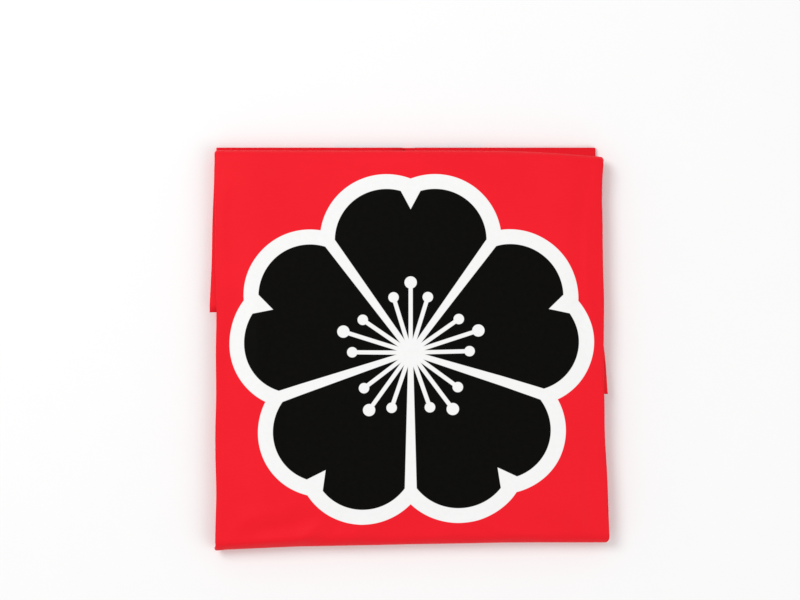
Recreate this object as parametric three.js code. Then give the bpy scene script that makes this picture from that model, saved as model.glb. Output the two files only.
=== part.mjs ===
// A child's happi coat, folded flat with the printed back uppermost.
//
// The coat's sides are turned in to the middle, which leaves a strip one panel wide. The strip's
// shoulder end is folded under, and its hem end is folded up under everything. So one back piece makes
// the upper face, the round fold at the bottom and the whole underside, and the hem looks out past the
// top fold. Millimetres: X is across the panel, +Y is the top of the print, +Z is up from the surface.

import * as THREE from "three";

// ---- Driving dimensions ----

const ply = 1.0; // wall that stands for one ply of cloth
const gap = 0.3; // between neighbouring pieces
const pitch = ply + gap; // from one ply to the next
const halfWidth = 126; // of the folded strip
const bottomFold = -130; // where the strip turns under
const topFold = 129.5; // where the shoulder end turns under
const hemEnd = 131.6; // the hem, just past the top fold
const hemTuck = 5; // that the underside's right edge is drawn in by at the hem
const stackHeight = 16; // of the whole folded coat
const flapEnd = 21.5; // the shoulder line, inside the fold
const seamHalf = 4; // from the middle line to a side seam or a collar edge
const collarWidth = 45;

const sleeveOpen = 2; // from the middle line to a sleeve's open side
const sleeveTopEnd = 119;
const beltHalf = 119; // half the length of the folded belt
const beltShort = 12; // that each free end of the belt stops short of the fold beside it
const beltFrom = -28;
const beltTo = 17;

const coreHalf = 121; // half the width of the hidden plies
const coreTop = 118; // their end inside the top fold
const coreStep = -33; // where the thick part of them ends, beside the belt and the sleeves
const coreCorner = 9; // corner radius of their outline
const plyBulge = 0.6; // that each hidden ply's rim rounds out by

// The strip is three plies thick: back, front and the back's turned-in side.
const stripThickness = 3 * ply + 2 * gap;
const underTop = stripThickness + gap; // level of what lies on the underside strip
const upperFloor = stackHeight - stripThickness - gap; // level of what lies under the upper strip
const flapTop = underTop + stripThickness + gap; // level of what lies on the shoulder flap
const bottomRadius = stackHeight / 2;
const topRadius = (stackHeight - underTop) / 2;
const foldRadius = (2 * ply + gap) / 2; // outside of one ply folded on itself
const sleeveFloor = upperFloor - 2 * foldRadius;

const turnSteps = 10; // facets round a fold of the strip
const edgeSteps = 5; // facets round a side fold

// How the folded coat lies: its right side runs out toward the bottom, and its ends aren't square.
const sideRows = [
  { y: -131, left: 126.6, right: 130.0 },
  { y: -112, left: 126.0, right: 129.6 },
  { y: -78, left: 125.6, right: 128.4 },
  { y: -30, left: 125.4, right: 126.9 },
  { y: 20, left: 125.6, right: 126.2 },
  { y: 100, left: 126.0, right: 125.6 },
  { y: 130, left: 126.2, right: 126.8 },
];
const endRows = [
  { x: -126, top: 129.5, bottom: -131.6 },
  { x: -100, top: 129.4, bottom: -130.0 },
  { x: -70, top: 129.3, bottom: -128.7 },
  { x: -20, top: 129.3, bottom: -127.8 },
  { x: 30, top: 129.3, bottom: -126.8 },
  { x: 60, top: 129.1, bottom: -126.2 },
  { x: 95, top: 127.6, bottom: -126.1 },
  { x: 126, top: 125.0, bottom: -126.1 },
];

// How far each sleeve's fold reaches from the middle line, from its lower edge up.
const leftSleeveRows = [
  { y: -29.8, reach: 128.8 },
  { y: 20, reach: 124.5 },
  { y: 70, reach: 119.5 },
  { y: sleeveTopEnd, reach: 115.5 },
];
const rightSleeveRows = [
  { y: 24.6, reach: 130.2 },
  { y: 55, reach: 129.2 },
  { y: 90, reach: 128.0 },
  { y: sleeveTopEnd, reach: 126.9 },
];

// The levels of the hidden plies, each thick or thin, full length or only at the bottom end.
const coreRows = [
  { floor: underTop, roof: underTop + pitch, end: coreStep },
  { floor: underTop + pitch, roof: underTop + 2 * pitch, end: coreStep },
  { floor: underTop + 2 * pitch, roof: flapTop, end: coreStep },
  { floor: flapTop, roof: sleeveFloor - gap, end: coreTop },
  { floor: sleeveFloor - gap, roof: upperFloor - pitch, end: coreStep },
  { floor: upperFloor - pitch, roof: upperFloor, end: coreStep },
];

const red = { color: 0xe0202c, roughness: 0.62 };
const blue = { color: 0x1f3fa0, roughness: 0.6 };

// ---- Small helpers ----

// The value of a column at a place among a table's rows.
function between(rows, key, at, column) {
  const last = rows.length - 1;
  if (at <= rows[0][key]) return rows[0][column];
  if (at >= rows[last][key]) return rows[last][column];
  const i = rows.findIndex((row) => row[key] > at);
  const share = (at - rows[i - 1][key]) / (rows[i][key] - rows[i - 1][key]);
  return THREE.MathUtils.lerp(rows[i - 1][column], rows[i][column], share);
}

// Moves a point of the squarely folded coat to where it lies.
function lie(x, y, z) {
  const tuck = z <= stripThickness ? hemTuck * THREE.MathUtils.clamp(y / hemEnd, 0, 1) : 0;
  const left = between(sideRows, "y", y, "left");
  const right = between(sideRows, "y", y, "right") - tuck;
  const top = between(endRows, "x", x, "top");
  const bottom = between(endRows, "x", x, "bottom");
  const share = (y - bottomFold) / (topFold - bottomFold);
  const past = Math.max(0, (y - topFold) / (hemEnd - topFold));
  const along = THREE.MathUtils.lerp(bottom, top, Math.min(1, share));
  const across = (x * (x < 0 ? left : right)) / halfWidth;
  return new THREE.Vector3(across, THREE.MathUtils.lerp(along, hemEnd, past), z);
}

// Points along an arc, both ends included. Angles are in degrees.
function arc(centreU, centreV, radius, from, to, steps) {
  return Array.from({ length: steps + 1 }, (_, i) => {
    const angle = THREE.MathUtils.degToRad(THREE.MathUtils.lerp(from, to, i / steps));
    return { u: centreU + radius * Math.cos(angle), v: centreV + radius * Math.sin(angle) };
  });
}

// Points along a level run, both ends included, with one at each inner row of endRows that it passes.
function run(from, to, v) {
  const low = Math.min(from, to);
  const high = Math.max(from, to);
  const stops = endRows.slice(1, -1).map((row) => row.x).filter((x) => x > low + 1 && x < high - 1);
  const us = [low, ...stops, high];
  return (from < to ? us : us.reverse()).map((u) => ({ u, v }));
}

// Leaves out each point that repeats the one before it, round the whole outline.
function tidy(outline) {
  return outline.filter((p, i) => {
    const before = outline[(i + outline.length - 1) % outline.length];
    return Math.hypot(p.u - before.u, p.v - before.v) > 0.001;
  });
}

// Triangles across the end of a ply: its outline goes out along one face and comes back along the other.
function fillPly(outline) {
  const last = outline.length - 1;
  const pairs = Array.from({ length: outline.length / 2 - 1 }, (_, i) => i);
  return pairs.flatMap((i) => [
    [i, i + 1, last - i],
    [i + 1, last - i - 1, last - i],
  ]);
}

// Triangles across a round outline.
function fillRound(outline) {
  return outline.slice(2).map((_, i) => [0, i + 1, i + 2]);
}

// The closed solid through rings of points that match one to one, with both ends filled alike.
function loft(rings, filling) {
  const count = rings[0].length;
  const end = (rings.length - 1) * count;
  const triangles = [];
  for (let start = 0; start < end; start += count) {
    for (let i = 0; i < count; i += 1) {
      const a = start + i;
      const b = start + ((i + 1) % count);
      triangles.push(a, b, b + count, a, b + count, a + count);
    }
  }
  for (const [a, b, c] of filling) {
    triangles.push(a, c, b);
    triangles.push(end + a, end + b, end + c);
  }
  return facingOut(rings.flat(), triangles);
}

// Geometry from points and triangles, with every triangle turned round if they face inward.
function facingOut(points, triangles) {
  let volume = 0;
  for (let i = 0; i < triangles.length; i += 3) {
    const [a, b, c] = triangles.slice(i, i + 3).map((n) => points[n]);
    volume += a.dot(b.clone().cross(c));
  }
  const geometry = new THREE.BufferGeometry();
  geometry.setAttribute("position", new THREE.Float32BufferAttribute(points.flatMap((p) => p.toArray()), 3));
  geometry.setIndex(volume < 0 ? triangles.toReversed() : triangles);
  geometry.computeVertexNormals();
  return geometry;
}

// ---- The strip's way through the folds ----

// Its outer face, from the hem along the underside, round the bottom fold, along the upper face, round
// the top fold and in under it. Each stop has a place {y, z} and the direction {inY, inZ} into the strip.
function stripPath() {
  const bottomCentre = bottomFold + bottomRadius;
  const topCentre = topFold - topRadius;
  const level = (y, z, inZ) => ({ y, z, inY: 0, inZ });
  const turn = (centreY, centreZ, radius, from, to) =>
    arc(centreY, centreZ, radius, from, to, turnSteps).map((p) => ({
      y: p.u,
      z: p.v,
      inY: (centreY - p.u) / radius,
      inZ: (centreZ - p.v) / radius,
    }));
  const stops = sideRows.map((row) => row.y).filter((y) => y > bottomCentre && y < topCentre);
  return [
    level(hemEnd, 0, 1),
    level(topFold, 0, 1),
    ...stops.toReversed().map((y) => level(y, 0, 1)),
    ...turn(bottomCentre, bottomRadius, bottomRadius, -90, -270),
    ...stops.map((y) => level(y, stackHeight, -1)),
    ...turn(topCentre, stackHeight - topRadius, topRadius, 90, -90),
    ...stops.filter((y) => y > flapEnd).map((y) => level(y, underTop, 1)),
    level(flapEnd, underTop, 1),
  ];
}

// Sweeps an outline of {u: across, v: depth below the outer face} along the strip.
function alongStrip(outline) {
  const section = tidy(outline);
  const rings = stripPath().map((stop) =>
    section.map((p) => lie(p.u, stop.y + p.v * stop.inY, stop.z + p.v * stop.inZ)),
  );
  return loft(rings, fillPly(section));
}

// ---- The pieces ----

// Outer ply right across, folded round both sides, with the coat's sides turned in to the middle.
function back() {
  const radius = stripThickness / 2;
  const flat = halfWidth - radius;
  const inner = radius - ply;
  return alongStrip([
    ...run(-seamHalf, -flat, stripThickness),
    ...arc(-flat, radius, radius, 90, 270, edgeSteps),
    ...run(-flat, flat, 0),
    ...arc(flat, radius, radius, -90, 90, edgeSteps),
    ...run(flat, seamHalf, stripThickness),
    ...run(seamHalf, flat, stripThickness - ply),
    ...arc(flat, radius, inner, 90, -90, edgeSteps),
    ...run(flat, -flat, ply),
    ...arc(-flat, radius, inner, 270, 90, edgeSteps),
    ...run(-flat, -seamHalf, stripThickness - ply),
  ]);
}

// One ply just inside the back, between two distances from the middle line on one side of it.
function innerPly(side, from, to) {
  const outer = ply + gap;
  return alongStrip([...run(side * from, side * to, outer), ...run(side * to, side * from, outer + ply)]);
}

function front(side) {
  return innerPly(side, seamHalf + collarWidth + gap, halfWidth - stripThickness / 2);
}

function collar(side) {
  return innerPly(side, seamHalf, seamHalf + collarWidth);
}

// A sleeve that lies across the strip and is folded back on itself, with its fold toward `side`.
function sleeve(side, rows) {
  const [from, to] = side < 0 ? [90, 270] : [90, -90];
  const middle = sleeveFloor + foldRadius;
  const sections = rows.map((row) => {
    const bend = side * (row.reach - foldRadius);
    const open = side * sleeveOpen;
    return tidy([
      ...run(open, bend, upperFloor),
      ...arc(bend, middle, foldRadius, from, to, edgeSteps),
      ...run(bend, open, sleeveFloor),
      ...run(open, bend, sleeveFloor + ply),
      ...arc(bend, middle, foldRadius - ply, to, from, edgeSteps),
      ...run(bend, open, upperFloor - ply),
    ]);
  });
  const rings = sections.map((section, i) => section.map((p) => lie(p.u, rows[i].y, p.v)));
  return loft(rings, fillPly(sections[0]));
}

// The belt, folded in three like a letter, seen end on as an S.
function belt() {
  const bend = beltHalf - foldRadius;
  const free = beltHalf - beltShort;
  const first = underTop;
  const second = first + pitch;
  const third = second + pitch;
  const outline = tidy([
    ...run(-free, bend, first),
    ...arc(bend, first + foldRadius, foldRadius, -90, 90, edgeSteps),
    ...run(bend, -bend, second + ply),
    ...arc(-bend, second + foldRadius, foldRadius - ply, -90, -270, edgeSteps),
    ...run(-bend, free, third),
    ...run(free, -bend, third + ply),
    ...arc(-bend, second + foldRadius, foldRadius, 90, 270, edgeSteps),
    ...run(-bend, bend, second),
    ...arc(bend, first + foldRadius, foldRadius - ply, 90, -90, edgeSteps),
    ...run(bend, -free, first + ply),
  ]);
  const rings = [beltFrom, beltTo].map((y) => outline.map((p) => lie(p.u, y, p.v)));
  return loft(rings, fillPly(outline));
}

// A level outline with rounded corners, drawn in by `inset`, as {u: x, v: y}.
function coreOutline(z, end, inset) {
  const room = bottomRadius - stripThickness - 2 * gap;
  const bulge = Math.sqrt(Math.max(0, room ** 2 - (z - bottomRadius) ** 2));
  const x = coreHalf - inset - coreCorner;
  const low = bottomFold + bottomRadius - bulge + inset + coreCorner;
  const high = end - inset - coreCorner;
  const corner = (u, v, from) => arc(u, v, coreCorner, from, from + 90, edgeSteps);
  return tidy([
    ...corner(x, high, 0),
    ...run(x, -x, high),
    ...corner(-x, high, 90),
    ...corner(-x, low, 180),
    ...run(-x, x, low),
    ...corner(x, low, 270),
  ]);
}

// Everything that is wholly inside: one solid whose rim is rounded ply by ply.
function hiddenLayers() {
  const outlines = coreRows.flatMap(({ floor, roof, end }) => [
    { z: floor, outline: coreOutline(floor, end, plyBulge + (end === coreTop ? gap : 0)) },
    { z: (floor + roof) / 2, outline: coreOutline((floor + roof) / 2, end, 0) },
    { z: roof, outline: coreOutline(roof, end, plyBulge + gap / 2) },
  ]);
  const rings = outlines.map(({ z, outline }) => outline.map((p) => lie(p.u, p.v, z)));
  return loft(rings, fillRound(outlines[0].outline));
}

// ---- The coat ----

function piece(name, geometry, { color, roughness }) {
  const mesh = new THREE.Mesh(geometry, new THREE.MeshStandardMaterial({ color, roughness, metalness: 0 }));
  mesh.name = name;
  return mesh;
}

const coat = new THREE.Group();
coat.add(
  piece("back", back(), red),
  piece("front_left", front(-1), red),
  piece("front_right", front(1), red),
  piece("collar_left", collar(-1), blue),
  piece("collar_right", collar(1), blue),
  piece("sleeve_left", sleeve(1, leftSleeveRows), red),
  piece("sleeve_right", sleeve(-1, rightSleeveRows), red),
  piece("belt", belt(), blue),
  piece("hidden_layers", hiddenLayers(), red),
);

export default coat;
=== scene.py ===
import math

import bpy
import numpy as np
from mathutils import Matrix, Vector


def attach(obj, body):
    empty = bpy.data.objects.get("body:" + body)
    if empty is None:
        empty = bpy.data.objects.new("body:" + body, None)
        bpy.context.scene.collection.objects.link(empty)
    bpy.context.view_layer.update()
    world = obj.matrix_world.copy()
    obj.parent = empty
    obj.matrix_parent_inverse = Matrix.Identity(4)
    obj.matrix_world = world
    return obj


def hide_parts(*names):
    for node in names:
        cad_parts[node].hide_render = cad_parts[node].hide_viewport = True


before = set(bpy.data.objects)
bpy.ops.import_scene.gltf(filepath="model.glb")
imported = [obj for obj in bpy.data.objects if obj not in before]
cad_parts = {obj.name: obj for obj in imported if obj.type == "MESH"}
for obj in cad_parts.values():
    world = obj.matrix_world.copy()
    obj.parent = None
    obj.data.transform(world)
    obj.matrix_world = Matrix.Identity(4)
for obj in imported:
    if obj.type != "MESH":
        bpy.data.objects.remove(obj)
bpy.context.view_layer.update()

# A child's happi coat, folded flat with its printed back uppermost. Metres throughout.
# Across is x, the top of the print is +y, and the coat rests on z = 0.

mm = 0.001

# how the strip of cloth is folded, as in the frame
fold = {
    "halfWidth": 126 * mm,
    "bottom": -130 * mm,  # where the strip turns under
    "top": 129.5 * mm,  # where the shoulder end turns under
    "hem": 131.6 * mm,
    "hemTuck": 5 * mm,  # the hem's right end is drawn in by this
    "height": 16 * mm,
    "strip": 3.6 * mm,  # thickness of the three plies of the strip
    "gap": 0.3 * mm,
    "shoulder": 21.5 * mm,  # the shoulder line, inside
    "seam": 4 * mm,  # middle line to side seam
    "thinEdge": 0.15,  # share of the height that is lost at the edge, where there are fewer plies
    "edgeReach": 34 * mm,
    "lift": 0.25 * mm,  # outer face of the underside above the table, which leaves room for thread
    "ply": 1 * mm,
    "wander": ((0.3 * mm, 0.023, 0.0021), (0.2 * mm, 0.0093, 0.0013)),  # sides: reach, lengths in y and z
    "wanderFrom": 0.09,
    "wanderOver": 0.03,
    "turnSteps": 18,  # mesh steps round the bottom fold
    "topTurnSteps": 14,
    "sideTurnSteps": 8,
}
fold["pitch"] = fold["ply"] + fold["gap"]
fold["floor"] = fold["strip"] + fold["gap"]
fold["bottomRadius"] = fold["height"] / 2
fold["topRadius"] = (fold["height"] - fold["floor"]) / 2

# How it lies: y, left and right half widths (mm)
sideRows = np.array([
    (-131, 126.6, 129.9), (-125, 126.2, 130.1), (-112, 125.9, 129.6), (-95, 125.6, 128.9),
    (-78, 125.6, 128.4), (-52, 125.5, 127.6), (-30, 125.4, 126.9), (20, 125.6, 126.2),
    (60, 125.8, 126.2), (100, 126.0, 125.6), (118, 126.1, 126.2), (130, 126.2, 126.9),
]) * mm
# x, top and bottom ends (mm)
endRows = np.array([
    (-126, 129.5, -131.6), (-118, 129.5, -130.8), (-100, 129.4, -130.0), (-85, 129.4, -129.3),
    (-70, 129.3, -128.7), (-20, 129.3, -127.8), (0, 129.3, -127.3), (30, 129.3, -126.8),
    (60, 129.1, -126.2), (80, 128.4, -126.1), (95, 127.6, -126.1), (120, 125.8, -126.1),
    (126, 125.0, -126.1),
]) * mm


def smooth(t):
    t = np.clip(t, 0, 1)
    return t * t * (3 - 2 * t)


def lie(p):
    # moves points of the squarely folded coat to where they lie
    x, y, z = p[..., 0], p[..., 1], p[..., 2]
    under = z <= fold["strip"] + fold["lift"] + 0.02 * mm
    tuck = np.where(under, fold["hemTuck"] * np.clip(y / fold["hem"], 0, 1), 0)
    left = np.interp(y, sideRows[:, 0], sideRows[:, 1])
    right = np.interp(y, sideRows[:, 0], sideRows[:, 2]) - tuck
    top = np.interp(x, endRows[:, 0], endRows[:, 1])
    bottom = np.interp(x, endRows[:, 0], endRows[:, 2])
    share = np.clip((y - fold["bottom"]) / (fold["top"] - fold["bottom"]), None, 1)
    past = np.clip((y - fold["top"]) / (fold["hem"] - fold["top"]), 0, None)
    along = bottom + (top - bottom) * share
    wander = sum(reach * np.sin(y / inY + z / inZ) for reach, inY, inZ in fold["wander"])
    atSide = smooth((np.abs(x) - fold["wanderFrom"]) / fold["wanderOver"])
    side = np.where(x < 0, left, right) + wander * atSide * np.sign(x)
    edge = np.minimum(fold["halfWidth"] - np.abs(x), np.minimum(y - fold["bottom"], fold["top"] - y))
    out = p.copy()
    out[..., 0] = x * side / fold["halfWidth"]
    out[..., 1] = along + (fold["hem"] - along) * past
    out[..., 2] = z * (1 - fold["thinEdge"] * (1 - smooth(edge / fold["edgeReach"])))
    return out


# creases, listed one by one: from x, y to x, y (mm), half width across, height (mm); minus is a trough
upperCreases = [
    (-121, -127, -92, -124, 4.6, 0.95),
    (-94, -124, -62, -119, 4.6, 1.35),
    (-64, -120, -22, -117, 5.4, 0.90),
    (-104, -111, -68, -99, 5.4, 0.75),
    (-98, -118, -66, -109, 3.6, -0.50),
    (-72, -125, -56, -111, 2.8, 0.85),
    (-56, -125, -44, -110, 3.0, -0.60),
    (-38, -125, -30, -111, 3.0, 0.70),
    (8, -123, 34, -114, 4.8, 0.80),
    (34, -118, 70, -124, 4.2, 0.75),
    (40, -109, 84, -121, 4.6, 1.10),
    (52, -103, 90, -113, 5.0, -0.60),
    (123, -60, 126, -104, 2.8, 0.95),
    (118, -56, 119, -122, 3.2, -0.60),
    (112, -70, 113, -120, 3.2, 0.80),
    (-103, 66, -99, 16, 5.0, 0.75),
    (-98, 14, -90, -54, 5.4, 0.80),
    (-110, 40, -112, -34, 4.6, -0.55),
    (-118, 112, -119, 46, 3.2, 0.60),
    (118, 122, 113, 20, 4.2, -0.60),
    (122, 118, 120, 6, 2.6, 0.75),
    (108, 96, 105, 40, 4.0, 0.45),
    (60, 124, 112, 121, 3.6, 0.70),
    (-60, 125, 20, 124, 3.8, 0.50),
    (-20, 40, 30, 48, 15.0, -0.30),
    (-60, -30, 60, -36, 17.0, 0.50),
    (-44, 66, 38, 60, 14.0, 0.40),
]
lowerCreases = [
    (-110, 118, -70, 96, 6.0, 0.50),
    (30, 122, 48, 84, 5.0, 0.45),
    (-98, 20, -94, -60, 6.0, 0.45),
    (104, 30, 112, -44, 5.5, 0.50),
    (-60, -118, -20, -108, 6.5, 0.55),
    (40, -112, 90, -120, 5.0, 0.50),
    (-30, 60, 50, 44, 16.0, 0.35),
]
press = {
    "deepest": 0.3 * mm,  # no trough goes further down, as cloth lies close under it
    "bow": 0.05,  # no crease is quite straight: how far it bows, as a share of its length
    "upperShare": 0.45,  # of the height, where the upper face's creases start, and over how much they grow
    "lowerShare": 0.4,
    "topRoom": 7 * mm,  # creases fade this near to the end folds
    "bottomRoom": 5 * mm,
    "atEnds": 0.25,  # share of a crease that is left there
}


def creaseHeight(x, y, rows):
    height = np.zeros_like(x)
    for x0, y0, x1, y1, wide, tall in rows:
        a, b = np.array((x0, y0)) * mm, np.array((x1, y1)) * mm
        along = b - a
        length = np.linalg.norm(along)
        t = ((x - a[0]) * along[0] + (y - a[1]) * along[1]) / length**2
        bow = press["bow"] * length * np.sin(math.pi * np.clip(t, 0, 1))
        off = ((x - a[0]) * along[1] - (y - a[1]) * along[0]) / length - bow
        ends = smooth((t + 0.25) / 0.45) * smooth((1.25 - t) / 0.45)
        height += tall * mm * ends * np.exp(-((off / (wide * mm)) ** 2))
    return height


def slackHeight(x, y):
    # the soft unevenness of cloth that lies on cloth: heights in mm, lengths in metres
    return mm * (
        0.16 * np.sin(x / 0.021 + 1.3 * np.sin(y / 0.034))
        + 0.13 * np.sin(y / 0.026 + 0.9 + 1.1 * np.sin(x / 0.041))
        + 0.05 * np.sin((x + 1.7 * y) / 0.0083)
    )


def settle(p):
    # lets the squarely folded points lie, then gives each face its creases
    q = lie(p)
    x, y, z = q[..., 0], q[..., 1], p[..., 2]
    starts = press["upperShare"] * fold["height"]
    upper = smooth((z - starts) / starts)
    lower = 1 - smooth(z / (press["lowerShare"] * fold["height"]))
    endRoom = smooth((fold["top"] - p[..., 1]) / press["topRoom"])
    endRoom *= smooth((p[..., 1] - fold["bottom"]) / press["bottomRoom"])
    height = creaseHeight(x, y, upperCreases) + slackHeight(x, y)
    deepest = press["deepest"]
    height = np.where(height < 0, deepest * np.tanh(height / deepest), height)
    rise = upper * height * (press["atEnds"] + (1 - press["atEnds"]) * endRoom)
    under = lower * np.clip(creaseHeight(x, y, lowerCreases), 0, None) * endRoom
    q[..., 2] += rise + under
    return q


def shell(name, grid, thick, cut, place):
    # a closed thin wall on a grid of middle points, with its flat cut in metres as the UV map;
    # cut is the flat place of each point, and place moves points of the square fold to rest
    rows, cols = grid.shape[:2]
    alongU = np.gradient(grid, axis=1)
    alongV = np.gradient(grid, axis=0)
    normal = np.cross(alongU, alongV)
    normal /= np.maximum(np.linalg.norm(normal, axis=-1, keepdims=True), 1e-12)
    faces = [place(grid + normal * side * thick / 2) for side in (1, -1)]
    points = np.concatenate([f.reshape(-1, 3) for f in faces])
    n = rows * cols
    index = np.arange(n).reshape(rows, cols)
    a, b, c, d = index[:-1, :-1], index[:-1, 1:], index[1:, 1:], index[1:, :-1]
    outer = np.stack([a, b, c, d], -1).reshape(-1, 4)
    inner = np.stack([a, d, c, b], -1).reshape(-1, 4) + n
    rim = np.concatenate([index[0, :], index[1:, -1], index[-1, -2::-1], index[-2:0:-1, 0]])
    after = np.roll(rim, -1)
    sides = np.stack([after, rim, rim + n, after + n], -1)
    quads = np.concatenate([outer, inner, sides])
    mesh = bpy.data.meshes.new(name)
    mesh.from_pydata(points.tolist(), [], quads.tolist())
    mesh.update()
    uv = mesh.uv_layers.new(name="cut")
    loops = np.empty(len(mesh.loops), dtype=np.int32)
    mesh.loops.foreach_get("vertex_index", loops)
    flat = np.concatenate([cut.reshape(-1, 2)] * 2)[loops]
    uv.data.foreach_set("uv", flat.ravel().astype(np.float32))
    mesh.polygons.foreach_set("use_smooth", [True] * len(mesh.polygons))
    return addObject(name, mesh)


def addObject(name, mesh):
    thing = bpy.data.objects.new(name, mesh)
    bpy.context.scene.collection.objects.link(thing)
    return thing


def spaced(start, end, step):
    count = max(1, round(abs(end - start) / step))
    return np.linspace(start, end, count + 1)


def bend(centreU, centreV, radius, fromDeg, toDeg, steps):
    angle = np.radians(np.linspace(fromDeg, toDeg, steps + 1))
    return np.stack([centreU + radius * np.cos(angle), centreV + radius * np.sin(angle)], -1)


def chain(*pieces):
    # joins runs of points, leaving out doubles, and gives the length so far at each
    points = np.concatenate([np.atleast_2d(p) for p in pieces])
    keep = np.r_[True, np.linalg.norm(np.diff(points, axis=0), axis=1) > 1e-6]
    points = points[keep]
    length = np.r_[0, np.cumsum(np.linalg.norm(np.diff(points, axis=0), axis=1))]
    return points, length


def level(us, v):
    return np.stack([us, np.full_like(us, v)], -1)


def stripPath(fine, coarse):
    # y, z and the direction inward at each stop from the hem to the shoulder line, with the length so far
    f = fold
    lowCentre, highCentre = f["bottom"] + f["bottomRadius"], f["top"] - f["topRadius"]
    under = level(spaced(f["hem"], lowCentre, coarse), f["lift"])
    lowTurn = bend(lowCentre, f["bottomRadius"], f["bottomRadius"], -90, -270, f["turnSteps"])
    lowTurn[:, 1] += f["lift"] * (1 - lowTurn[:, 1] / f["height"])
    upper = level(spaced(lowCentre, highCentre, fine), f["height"])
    highTurn = bend(highCentre, f["height"] - f["topRadius"], f["topRadius"], 90, -90, f["topTurnSteps"])
    flap = level(spaced(highCentre, f["shoulder"], coarse), f["floor"])
    points, length = chain(under, lowTurn, upper, highTurn, flap)
    ahead = np.gradient(points, axis=0)
    ahead /= np.linalg.norm(ahead, axis=1, keepdims=True)
    inward = np.stack([ahead[:, 1], -ahead[:, 0]], -1)
    return points, inward, length


def alongStrip(name, section, sectionLength, thick, fine, coarse):
    # sweeps a section of (across, depth below the strip's outer face) along the folded strip
    points, inward, length = stripPath(fine, coarse)
    grid = np.empty((len(points), len(section), 3))
    grid[..., 0] = section[None, :, 0]
    grid[..., 1:] = points[:, None, :] + section[None, :, 1, None] * inward[:, None, :]
    cut = np.stack(np.meshgrid(sectionLength - sectionLength.mean(), length), -1)
    return shell(name, grid, thick, cut, settle), cut


class Sums:
    # short names for the maths nodes of one material
    def __init__(self, tree):
        self.tree = tree

    def maths(self, kind, *values):
        node = self.tree.nodes.new("ShaderNodeMath")
        node.operation = kind
        for socket, value in zip(node.inputs, values):
            self.put(socket, value)
        return node.outputs[0]

    def put(self, socket, value):
        if isinstance(value, (int, float)):
            socket.default_value = value
        else:
            self.tree.links.new(value, socket)

    def add(self, a, b):
        return self.maths("ADD", a, b)

    def less(self, a, b):
        return self.maths("SUBTRACT", a, b)

    def times(self, a, b):
        return self.maths("MULTIPLY", a, b)

    def least(self, a, b):
        return self.maths("MINIMUM", a, b)

    def most(self, a, b):
        return self.maths("MAXIMUM", a, b)

    def distance(self, x, y):
        return self.maths("SQRT", self.add(self.times(x, x), self.times(y, y)))

    def inside(self, away, blur=0.25 * mm):
        # 1 where a signed distance is below zero, 0 outside, with a soft edge
        return self.maths("MULTIPLY_ADD", self.maths("DIVIDE", away, -blur), 1, 0.5)

    def clamp(self, value):
        node = self.tree.nodes.new("ShaderNodeClamp")
        self.put(node.inputs[0], value)
        return node.outputs[0]


def newMaterial(name):
    material = bpy.data.materials.new(name)
    material.use_nodes = True
    tree = material.node_tree
    shader = tree.nodes["Principled BSDF"]
    return material, tree, shader


def mixColour(tree, factor, a, b):
    node = tree.nodes.new("ShaderNodeMix")
    node.data_type = "RGBA"
    tree.links.new(factor, node.inputs[0])
    for socket, value in ((node.inputs[6], a), (node.inputs[7], b)):
        if isinstance(value, tuple):
            socket.default_value = (*value, 1)
        else:
            tree.links.new(value, socket)
    return node.outputs[2]


def noise(tree, vector, scale, detail=2, stretch=None):
    node = tree.nodes.new("ShaderNodeTexNoise")
    node.inputs["Scale"].default_value = scale
    node.inputs["Detail"].default_value = detail
    if stretch:
        mapping = tree.nodes.new("ShaderNodeMapping")
        mapping.inputs["Scale"].default_value = stretch
        tree.links.new(vector, mapping.inputs[0])
        vector = mapping.outputs[0]
    tree.links.new(vector, node.inputs["Vector"])
    return node.outputs["Fac"]


def wovenHeight(tree, sums, vector, pitch):
    # plain weave: warp and weft rise in turn, worked from the flat cut in metres
    split = tree.nodes.new("ShaderNodeSeparateXYZ")
    tree.links.new(vector, split.inputs[0])
    turns = math.pi / pitch
    warp = sums.maths("SINE", sums.times(split.outputs[0], turns))
    weft = sums.maths("SINE", sums.times(split.outputs[1], turns))
    crossing = sums.times(warp, weft)
    threads = sums.add(sums.times(warp, warp), sums.times(weft, weft))
    return sums.add(sums.times(crossing, 0.5), sums.times(threads, 0.35))


cloth = {
    "thread": 0.42 * mm,  # spacing of warp and weft
    "red": (0.900, 0.0100, 0.0230),
    "redDeep": (0.780, 0.0060, 0.0150),  # where the dye takes more
    "blue": (0.0120, 0.0520, 0.3300),
    "blueDeep": (0.0080, 0.0330, 0.2300),
    "roughness": 0.58,
    "sheen": 0.035,
    "specular": 0.12,
    "slubScale": 900,
    "rumpleScale": 42,
    # strength and height of each bump
    "rumple": (0.35, 0.6 * mm),
    "slub": (0.12, 0.1 * mm),
    "weave": (0.25, 0.06 * mm),
    "inkSmoother": 0.12,  # how much less rough the ink is
    "inkCover": 0.7,  # share of the cloth's shine that black ink hides
}


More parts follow.
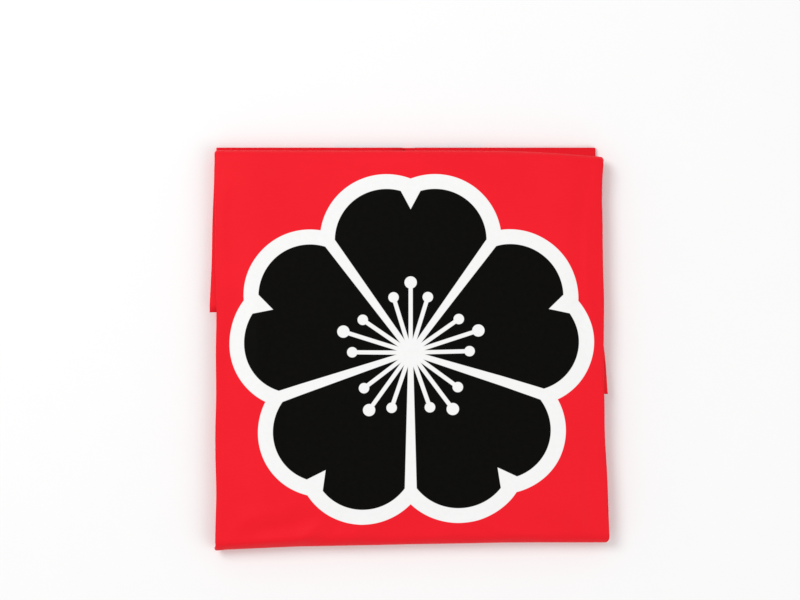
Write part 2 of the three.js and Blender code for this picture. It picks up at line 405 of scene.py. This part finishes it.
def finishCloth(tree, shader, sums, vector, colour, roughness):
    weave = wovenHeight(tree, sums, vector, cloth["thread"])
    slub = noise(tree, vector, cloth["slubScale"], 1, (0.06, 1, 1))
    rumple = noise(tree, vector, cloth["rumpleScale"], 3)
    bumps = ((rumple, *cloth["rumple"]), (slub, *cloth["slub"]), (weave, *cloth["weave"]))
    normal = None
    for height, strength, distance in bumps:
        bump = tree.nodes.new("ShaderNodeBump")
        bump.inputs["Strength"].default_value = strength
        bump.inputs["Distance"].default_value = distance
        tree.links.new(height, bump.inputs["Height"])
        if normal:
            tree.links.new(normal, bump.inputs["Normal"])
        normal = bump.outputs[0]
    tree.links.new(normal, shader.inputs["Normal"])
    tree.links.new(colour, shader.inputs["Base Color"])
    tree.links.new(roughness, shader.inputs["Roughness"])
    shader.inputs["Sheen Weight"].default_value = cloth["sheen"]
    shader.inputs["Sheen Roughness"].default_value = 0.4
    shader.inputs["Specular IOR Level"].default_value = cloth["specular"]


def dyedColour(tree, sums, vector, light, deep):
    # dye that takes a little unevenly, and threads that differ
    cloudy = noise(tree, vector, 16, 3)
    thready = noise(tree, vector, 2600, 1, (0.04, 1, 1))
    share = sums.clamp(sums.add(sums.times(cloudy, 0.7), sums.times(thready, 0.25)))
    return mixColour(tree, share, light, deep)


def clothRoughness(tree, sums, vector):
    return sums.add(sums.times(noise(tree, vector, 30, 2), 0.10), cloth["roughness"] - 0.05)


def plainCloth(name, light, deep):
    material, tree, shader = newMaterial(name)
    sums = Sums(tree)
    uv = tree.nodes.new("ShaderNodeUVMap")
    uv.uv_map = "cut"
    vector = uv.outputs[0]
    colour = dyedColour(tree, sums, vector, light, deep)
    finishCloth(tree, shader, sums, vector, colour, clothRoughness(tree, sums, vector))
    return material


# A cherry blossom in black on a white ground, five petals round the middle (mm)
blossom = {
    "lobeRadius": 33.5,  # each petal has two lobes
    "lobeAway": 75.5,  # from the flower's middle to a lobe's middle
    "lobeTurn": 12.0,  # degrees from the petal's middle line
    "heart": 78.5,  # solid round the middle
    "border": 9.7,  # white round the outside
    "notchFloor": 94.0,  # the nick in a petal's tip
    "notchTurn": 28.0,
    "slit": 1.5,  # half width of the white line between petals at the middle
    "slitSpread": 0.026,  # and how much it widens for each mm outward
    "eye": 7.5,  # white dot in the middle
    "thread": 1.35,  # half width of a stamen
    "stamens": ((0, 46, 4.0), (17, 38, 3.4)),  # degrees, length, radius of the tip
}


def printMasks(tree, sums, vector, middleX, middleY):
    # (ground, ink): 1 inside the white ground, and 1 inside the black petals
    b = blossom
    split = tree.nodes.new("ShaderNodeSeparateXYZ")
    tree.links.new(vector, split.inputs[0])
    x = sums.less(split.outputs[0], middleX)
    y = sums.less(split.outputs[1], middleY)
    away = sums.distance(x, y)
    turn = sums.maths("ARCTAN2", x, y)
    petal = math.radians(72)
    turn = sums.less(turn, sums.times(sums.maths("ROUND", sums.maths("DIVIDE", turn, petal)), petal))
    turn = sums.maths("ABSOLUTE", turn)
    px = sums.times(away, sums.maths("SINE", turn))
    py = sums.times(away, sums.maths("COSINE", turn))

    def lineAway(degrees, floor=0.0):
        # distance from a line through (0, floor), turned from the petal's middle line
        c, s = math.cos(math.radians(degrees)), math.sin(math.radians(degrees))
        return sums.less(sums.times(px, c), sums.times(sums.less(py, floor * mm), s))

    def circleAway(cx, cy, radius):
        return sums.less(sums.distance(sums.less(px, cx * mm), sums.less(py, cy * mm)), radius * mm)

    lobeX = b["lobeAway"] * math.sin(math.radians(b["lobeTurn"]))
    lobeY = b["lobeAway"] * math.cos(math.radians(b["lobeTurn"]))
    lobe = circleAway(lobeX, lobeY, b["lobeRadius"])
    heart = sums.less(away, b["heart"] * mm)
    body = sums.least(lobe, heart)
    slit = sums.add(lineAway(36), sums.add(sums.times(away, b["slitSpread"]), b["slit"] * mm))
    notch = sums.times(lineAway(b["notchTurn"], b["notchFloor"]), -1)
    ink = sums.most(sums.most(body, slit), notch)
    for degrees, length, tip in b["stamens"]:
        c, s = math.cos(math.radians(degrees)), math.sin(math.radians(degrees))
        reach = sums.add(sums.times(px, s), sums.times(py, c))
        beside = sums.maths("ABSOLUTE", lineAway(degrees))
        beyond = sums.less(reach, length * mm)
        stem = sums.most(sums.less(beside, b["thread"] * mm), beyond)
        dot = circleAway(length * s, length * c, tip)
        ink = sums.most(ink, sums.times(sums.least(stem, dot), -1))
    ink = sums.most(ink, sums.times(sums.less(away, b["eye"] * mm), -1))
    ground = sums.least(sums.less(lobe, b["border"] * mm), heart)
    return sums.clamp(sums.inside(ground)), sums.clamp(sums.inside(ink))


def printedCloth(name, middleX, middleY):
    material, tree, shader = newMaterial(name)
    sums = Sums(tree)
    uv = tree.nodes.new("ShaderNodeUVMap")
    uv.uv_map = "cut"
    vector = uv.outputs[0]
    ground, ink = printMasks(tree, sums, vector, middleX, middleY)
    dyed = dyedColour(tree, sums, vector, cloth["red"], cloth["redDeep"])
    wear = noise(tree, vector, 300, 2)
    white = mixColour(tree, wear, (0.90, 0.90, 0.895), (0.85, 0.85, 0.845))
    black = mixColour(tree, wear, (0.0016, 0.0015, 0.0012), (0.0034, 0.0032, 0.0026))
    colour = mixColour(tree, ink, mixColour(tree, ground, dyed, white), black)
    bare = clothRoughness(tree, sums, vector)
    rough = sums.less(bare, sums.times(ground, cloth["inkSmoother"]))
    finishCloth(tree, shader, sums, vector, colour, rough)
    cover = sums.less(1, sums.times(ink, cloth["inkCover"]))
    tree.links.new(sums.times(cover, cloth["specular"]), shader.inputs["Specular IOR Level"])
    tree.links.new(sums.times(cover, cloth["sheen"]), shader.inputs["Sheen Weight"])
    return material


def stitchTree():
    # a row of short thread pieces along a line of edges
    tree = bpy.data.node_groups.new("stitchRow", "GeometryNodeTree")
    face = tree.interface
    face.new_socket("Line", in_out="INPUT", socket_type="NodeSocketGeometry")
    for word in ("Spacing", "Stitch Length", "Thread Radius"):
        face.new_socket(word, in_out="INPUT", socket_type="NodeSocketFloat")
    face.new_socket("Thread", in_out="INPUT", socket_type="NodeSocketMaterial")
    face.new_socket("Stitches", in_out="OUTPUT", socket_type="NodeSocketGeometry")
    add = tree.nodes.new
    given, result = add("NodeGroupInput"), add("NodeGroupOutput")
    curve, spread = add("GeometryNodeMeshToCurve"), add("GeometryNodeResampleCurve")
    tangent = add("GeometryNodeInputTangent")
    spread.mode = "LENGTH"
    turn, thread = add("FunctionNodeAlignRotationToVector"), add("GeometryNodeMeshCylinder")
    place = add("GeometryNodeInstanceOnPoints")
    turn.axis = "Z"
    thread.inputs["Vertices"].default_value = 8
    realize, paint = add("GeometryNodeRealizeInstances"), add("GeometryNodeSetMaterial")
    for start, socket, end, into in (
        (given, "Line", curve, "Mesh"),
        (curve, "Curve", spread, "Curve"),
        (given, "Spacing", spread, "Length"),
        (tangent, "Tangent", turn, "Vector"),
        (given, "Stitch Length", thread, "Depth"),
        (given, "Thread Radius", thread, "Radius"),
        (spread, "Curve", place, "Points"),
        (thread, "Mesh", place, "Instance"),
        (turn, "Rotation", place, "Rotation"),
        (place, "Instances", realize, "Geometry"),
        (realize, "Geometry", paint, "Geometry"),
        (given, "Thread", paint, "Material"),
        (paint, "Geometry", result, "Stitches"),
    ):
        tree.links.new(start.outputs[socket], end.inputs[into])
    return tree


stitchRow = stitchTree()


def sew(name, lines, spacing, length, radius, thread):
    # turns lines of points into rows of stitches, as one plain mesh
    points = np.concatenate(lines)
    starts = np.cumsum([0] + [len(line) for line in lines])
    edges = [(i, i + 1) for a, b in zip(starts, starts[1:]) for i in range(a, b - 1)]
    mesh = bpy.data.meshes.new(name + "Line")
    mesh.from_pydata(points.tolist(), edges, [])
    row = addObject(name + "Line", mesh)
    nodes = row.modifiers.new("stitches", "NODES")
    nodes.node_group = stitchRow
    values = {"Spacing": spacing, "Stitch Length": length, "Thread Radius": radius, "Thread": thread}
    for socket in stitchRow.interface.items_tree:
        if socket.in_out == "INPUT" and socket.name in values:
            nodes[socket.identifier] = values[socket.name]
    done = row.evaluated_get(bpy.context.evaluated_depsgraph_get())
    sewn = bpy.data.meshes.new_from_object(done)
    sewn.name = name
    bpy.data.objects.remove(row)
    stitches = addObject(name, sewn)
    print(name + ":", len(sewn.polygons), "faces")
    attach(stitches, "root")
    return stitches


redCloth = plainCloth("redCloth", cloth["red"], cloth["redDeep"])
blueCloth = plainCloth("blueCloth", cloth["blue"], cloth["blueDeep"])


def threadFinish(name, colour):
    material, tree, shader = newMaterial(name)
    sums = Sums(tree)
    place = tree.nodes.new("ShaderNodeTexCoord").outputs["Object"]
    shade = noise(tree, place, 1500, 1)
    deep = tuple(0.7 * c for c in colour)
    tree.links.new(mixColour(tree, shade, colour, deep), shader.inputs["Base Color"])
    tree.links.new(sums.add(sums.times(shade, 0.2), 0.4), shader.inputs["Roughness"])
    shader.inputs["Specular IOR Level"].default_value = 0.25
    return material


redThread = threadFinish("redThread", cloth["redDeep"])
blueThread = threadFinish("blueThread", cloth["blueDeep"])

backPiece = {
    "thick": 0.5 * mm,
    "fine": 2.6 * mm,  # mesh step on the printed face
    "coarse": 6 * mm,  # and where it is hidden or underneath
    "turnedIn": 10 * mm,  # mesh step across the turned-in sides
    "printMiddle": (1.0 * mm, -3.4 * mm),  # the flower's middle on the upper face
}


def backSection(step, coarse):
    f = fold
    depth = backPiece["thick"] / 2
    radius = f["strip"] / 2
    flat = f["halfWidth"] - radius
    inner = radius - depth
    low, high = depth, f["strip"] - depth
    return chain(
        level(spaced(-f["seam"], -flat, coarse), high),
        bend(-flat, radius, inner, 90, 270, f["sideTurnSteps"]),
        level(spaced(-flat, flat, step), low),
        bend(flat, radius, inner, -90, 90, f["sideTurnSteps"]),
        level(spaced(flat, f["seam"], coarse), high),
    )


section, sectionLength = backSection(backPiece["fine"], backPiece["turnedIn"])
back, _ = alongStrip(
    "backCloth", section, sectionLength, backPiece["thick"], backPiece["fine"], backPiece["coarse"]
)
pathPoints, _, pathLength = stripPath(backPiece["fine"], backPiece["coarse"])
upperStops = np.isclose(pathPoints[:, 1], fold["height"])
printAt = np.interp(backPiece["printMiddle"][1], pathPoints[upperStops, 0], pathLength[upperStops])
back.data.materials.append(
    printedCloth("printedRedCloth", backPiece["printMiddle"][0], float(printAt))
)
hem = {
    "turning": 10 * mm,
    "fromSide": 3 * mm,
    "step": 2 * mm,
    "spacing": 3.2 * mm,
    "stitch": 2.3 * mm,
    "thread": 0.33 * mm,
}


def hemLine():
    # the row that holds the hem's turning, through the outer ply of the underside
    reach = fold["halfWidth"] - hem["fromSide"]
    across = spaced(-reach, reach, hem["step"])
    middle = fold["lift"] + backPiece["thick"] / 2
    points = np.stack([
        across, np.full_like(across, fold["hem"] - hem["turning"]), np.full_like(across, middle)
    ], -1)
    return settle(points)


hemStitches = sew(
    "hemStitches", [hemLine()], hem["spacing"], hem["stitch"], hem["thread"], redThread
)
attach(back, "root")
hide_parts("back")
print("back:", round(float(sectionLength[-1]), 3), "by", round(float(pathLength[-1]), 3), "m")

# fronts and collar band, just inside the back
innerPiece = {
    "thick": 0.5 * mm,
    "depth": 1.8 * mm,  # middle of the ply below the strip's outer face
    "collar": 45 * mm,
    "joint": 0.3 * mm,
    "fine": 8 * mm,
}


def innerPly(name, side, near, far, material, node):
    across = level(spaced(side * near, side * far, innerPiece["fine"]), innerPiece["depth"])
    if side < 0:
        across = across[::-1]
    points, length = chain(across)
    step = innerPiece["fine"]
    ply, cut = alongStrip(name, points, length, innerPiece["thick"], step, step)
    ply.data.materials.append(material)
    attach(ply, "root")
    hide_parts(node)
    return ply


collarFar = fold["seam"] + innerPiece["collar"]
frontNear = collarFar + innerPiece["joint"]
frontFar = fold["halfWidth"] - fold["strip"] / 2
for word, side in (("Left", -1), ("Right", 1)):
    node = word.lower()
    innerPly("front" + word, side, frontNear, frontFar, redCloth, "front_" + node)
    innerPly("collar" + word, side, fold["seam"], collarFar, blueCloth, "collar_" + node)
print("fronts and collar band done")

# sleeves, folded across the strip
sleevePiece = {
    "thick": 0.5 * mm,
    "open": 2 * mm,  # middle line to the sleeve's open side
    "top": 12.1 * mm,
    "radius": 1.15 * mm,  # of the fold
    "step": 8 * mm,
    "rowStep": 5 * mm,
    "stops": 14,  # kept on each flat side, so that every row has the same number of points
    "slackShare": 0.4,  # of the panel's slack
    "below": 0.1 * mm,
}
# y and reach of the fold from the middle line (mm)
leftSleeveRows = [(-29.8, 128.9), (-10, 127.6), (15, 125.3), (45, 122.0), (80, 118.5), (119, 115.5)]
rightSleeveRows = [(24.6, 130.0), (30, 130.1), (52, 129.5), (70, 128.6), (95, 127.6), (119, 126.6)]


def sleeve(name, side, rows, node):
    s = sleevePiece
    rows = np.array(rows) * mm
    ys = spaced(rows[0, 0], rows[-1, 0], s["rowStep"])
    reach = np.interp(ys, rows[:, 0], rows[:, 1])
    inner = s["radius"] - s["thick"] / 2
    middle = s["top"] - s["radius"]
    grid, cut = [], []
    for y, far in zip(ys, reach):
        bendX = far - s["radius"]
        points, length = chain(
            level(spaced(s["open"], bendX, s["step"])[: s["stops"]], middle + inner),
            bend(bendX, middle, inner, 90, -90, fold["sideTurnSteps"]),
            level(spaced(bendX, s["open"], s["step"])[-s["stops"] :], middle - inner),
        )
        grid.append(np.stack([side * points[:, 0], np.full(len(points), y), points[:, 1]], -1))
        cut.append(np.stack([length, np.full(len(points), y)], -1))
    grid, cut = np.array(grid), np.array(cut)
    if side > 0:
        grid, cut = grid[::-1], cut[::-1]
    ply = shell(name, grid, s["thick"], cut, settleSleeve)
    ply.data.materials.append(redCloth)
    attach(ply, "root")
    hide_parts(node)
    return ply


def settleSleeve(p):
    # a sleeve follows the slack of the panel over it, a little below
    q = lie(p)
    q[..., 2] += sleevePiece["slackShare"] * slackHeight(q[..., 0], q[..., 1]) - sleevePiece["below"]
    return q


sleeve("sleeveLeft", 1, leftSleeveRows, "sleeve_left")
sleeve("sleeveRight", -1, rightSleeveRows, "sleeve_right")
print("sleeves done")

# belt, folded in three
beltPiece = {
    "thick": 0.7 * mm,  # two layers sewn together
    "half": 119 * mm,
    "short": 12 * mm,
    "from": -28 * mm,
    "to": 17 * mm,
    "radius": 1.15 * mm,
    "step": 6 * mm,
    "rowStep": 5 * mm,
    "waver": 0.4 * mm,  # of its edges
    "waverLength": 0.03,
}


def beltLine():
    b = beltPiece
    bendX = b["half"] - b["radius"]
    free = b["half"] - b["short"]
    inner = b["radius"] - fold["ply"] / 2
    first = fold["floor"] + fold["ply"] / 2
    second, third = first + fold["pitch"], first + 2 * fold["pitch"]
    return chain(
        level(spaced(-free, bendX, b["step"]), first),
        bend(bendX, (first + second) / 2, inner, -90, 90, fold["sideTurnSteps"]),
        level(spaced(bendX, -bendX, b["step"]), second),
        bend(-bendX, (second + third) / 2, inner, -90, -270, fold["sideTurnSteps"]),
        level(spaced(-bendX, free, b["step"]), third),
    )


line, beltLength = beltLine()
beltYs = spaced(beltPiece["from"], beltPiece["to"], beltPiece["rowStep"])
beltWaver = beltPiece["waver"] * np.sin(line[None, :, 0] / beltPiece["waverLength"])
beltGrid = np.empty((len(beltYs), len(line), 3))
beltGrid[..., 0] = line[None, :, 0]
beltGrid[..., 1] = beltYs[:, None] + beltWaver
beltGrid[..., 2] = line[None, :, 1]
beltCut = np.stack(np.meshgrid(beltLength, beltYs), -1)
belt = shell("beltCloth", beltGrid, beltPiece["thick"], beltCut, lie)
belt.data.materials.append(blueCloth)
beltSeam = {"inset": 2.0 * mm, "spacing": 2.8 * mm, "stitch": 2.0 * mm, "thread": 0.43 * mm}
beltRows = [
    np.column_stack([line[:, 0], np.full(len(line), y), line[:, 1]])
    for y in (beltPiece["from"] + beltSeam["inset"], beltPiece["to"] - beltSeam["inset"])
]
beltStitches = sew(
    "beltStitches", [lie(row) for row in beltRows], beltSeam["spacing"], beltSeam["stitch"],
    beltSeam["thread"], blueThread,
)
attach(belt, "root")
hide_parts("belt")
print("belt:", round(float(beltLength[-1]), 3), "m as folded")

# the plies that are wholly inside
core = {
    "half": 121 * mm,
    "top": 118 * mm,
    "step": -33 * mm,
    "corner": 9 * mm,
    "room": 3.8 * mm,  # inside the bottom fold
    "cornerSteps": 8,
    "endStep": 9 * mm,
    "sideStops": 26,
    "waver": 0.45 * mm,  # of each ply's sides
    "softRim": 0.06 * mm,  # taken off each face, so that neighbours don't touch
    "rimRings": 9,
}
# floor, roof (mm), end inside the top fold or at the step, and how far each ply is drawn in (mm)
coreRows = [
    (3.9, 5.2, "step", 0.4), (5.2, 6.5, "step", 1.6), (6.5, 7.8, "step", 0.0), (7.8, 9.5, "top", 0.9),
    (9.5, 10.8, "step", 1.9), (10.8, 12.1, "step", 0.2),
]


def coreRing(z, end, inset):
    c = core
    bulge = math.sqrt(max(0, c["room"] ** 2 - (z - fold["bottomRadius"]) ** 2))
    x = c["half"] - inset - c["corner"]
    low = fold["bottom"] + fold["bottomRadius"] - bulge + inset + c["corner"]
    high = c[end] - inset - c["corner"]
    corners = [(x, high, 0), (-x, high, 90), (-x, low, 180), (x, low, 270)]
    arcs = [bend(u, v, c["corner"], a, a + 90, c["cornerSteps"]) for u, v, a in corners]
    down = np.linspace(high, low, c["sideStops"])[1:-1]
    up = np.linspace(low, high, c["sideStops"])[1:-1]
    sides = [
        level(spaced(x, -x, c["endStep"])[1:-1], high + c["corner"]),
        np.stack([np.full_like(down, -x - c["corner"]), down], -1),
        level(spaced(-x, x, c["endStep"])[1:-1], low - c["corner"]),
        np.stack([np.full_like(up, x + c["corner"]), up], -1),
    ]
    ring = np.concatenate([part for pair in zip(arcs, sides) for part in pair])
    waver = c["waver"] * np.sin(ring[:, 1] / 0.017 + z * 900) * np.sin(ring[:, 0] / 0.03 + z * 500)
    ring[:, 0] -= np.sign(ring[:, 0]) * np.abs(waver)
    return np.column_stack([ring, np.full(len(ring), z)])


def roundedPly(floor, roof, end, inset, first):
    # points and faces of one folded ply, a plate whose rim rounds over; its points count from first
    half = (roof - floor) / 2 - core["softRim"]
    middle = (roof + floor) / 2
    rings = [
        coreRing(middle + half * math.sin(a), end, inset + half * (1 - math.cos(a)))
        for a in np.radians(np.linspace(-84, 84, core["rimRings"]))
    ]
    count = len(rings[0])
    points = lie(np.concatenate(rings))
    starts = [first + r * count for r in range(len(rings))]
    faces = [
        (low + i, low + (i + 1) % count, high + (i + 1) % count, high + i)
        for low, high in zip(starts, starts[1:])
        for i in range(count)
    ]
    faces += [tuple(reversed(range(first, first + count))), tuple(range(starts[-1], starts[-1] + count))]
    return points, faces


def insideStack():
    points, faces = np.empty((0, 3)), []
    for low, high, end, inset in coreRows:
        plyPoints, plyFaces = roundedPly(low * mm, high * mm, end, inset * mm, len(points))
        points = np.concatenate([points, plyPoints])
        faces += plyFaces
    mesh = bpy.data.meshes.new("insidePlies")
    mesh.from_pydata(points.tolist(), [], faces)
    mesh.polygons.foreach_set("use_smooth", [len(face) == 4 for face in faces])
    mesh.update()
    uv = mesh.uv_layers.new(name="cut")
    for loop in mesh.loops:
        spot = mesh.vertices[loop.vertex_index].co
        uv.data[loop.index].uv = (spot.x + spot.z, spot.y)
    return addObject("insidePlies", mesh)


inside = insideStack()
inside.data.materials.append(redCloth)
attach(inside, "root")
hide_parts("hidden_layers")
print("inside plies done")

# floor, light and camera
stage = {
    "floorSize": 3.0,
    "floorColour": (0.93, 0.93, 0.93),
    "world": 0.62,
    "keyPower": 15.0,
    "keyAt": (-0.9, 0.75, 1.5),
    "keySize": 1.0,
    "fillPower": 6.0,
    "fillAt": (1.0, -0.6, 1.3),
    "fillSize": 1.2,
}
view = {
    "lens": 100.0,
    "sensor": 36.0,
    "across": 0.5184,  # width of the picture on the coat's upper face
    "middle": (-0.0059, 0.0320),
}


def makeFloor():
    half = stage["floorSize"] / 2
    mesh = bpy.data.meshes.new("floor")
    corners = [(-half, -half, 0), (half, -half, 0), (half, half, 0), (-half, half, 0)]
    mesh.from_pydata([(x, y, -0.05 * mm) for x, y, _ in corners], [], [(0, 1, 2, 3)])
    floor = addObject("floor", mesh)
    material, tree, shader = newMaterial("paleTable")
    grain = tree.nodes.new("ShaderNodeTexCoord").outputs["Object"]
    colour = mixColour(tree, noise(tree, grain, 40, 3), stage["floorColour"], (0.92, 0.92, 0.92))
    tree.links.new(colour, shader.inputs["Base Color"])
    shader.inputs["Roughness"].default_value = 0.8
    shader.inputs["Specular IOR Level"].default_value = 0.1
    floor.data.materials.append(material)


def makeLight(name, at, size, power):
    data = bpy.data.lights.new(name, "AREA")
    data.shape = "DISK"
    data.size = size
    data.energy = power
    lamp = bpy.data.objects.new(name, data)
    lamp.location = at
    lamp.rotation_euler = Vector((-at[0], -at[1], -at[2])).to_track_quat("-Z", "Y").to_euler()
    bpy.context.scene.collection.objects.link(lamp)


def makeCamera():
    data = bpy.data.cameras.new("camera")
    data.lens = view["lens"]
    data.sensor_width = view["sensor"]
    height = view["across"] * view["lens"] / view["sensor"]
    camera = bpy.data.objects.new("camera", data)
    camera.location = (*view["middle"], fold["height"] + height)
    bpy.context.scene.collection.objects.link(camera)
    bpy.context.scene.camera = camera


makeFloor()
makeLight("keyLight", stage["keyAt"], stage["keySize"], stage["keyPower"])
makeLight("fillLight", stage["fillAt"], stage["fillSize"], stage["fillPower"])
makeCamera()
world = bpy.data.worlds.new("studio")
world.use_nodes = True
world.node_tree.nodes["Background"].inputs[0].default_value = (1, 1, 1, 1)
world.node_tree.nodes["Background"].inputs[1].default_value = stage["world"]
bpy.context.scene.world = world
bpy.context.scene.view_settings.view_transform = "Standard"
print("stage done")
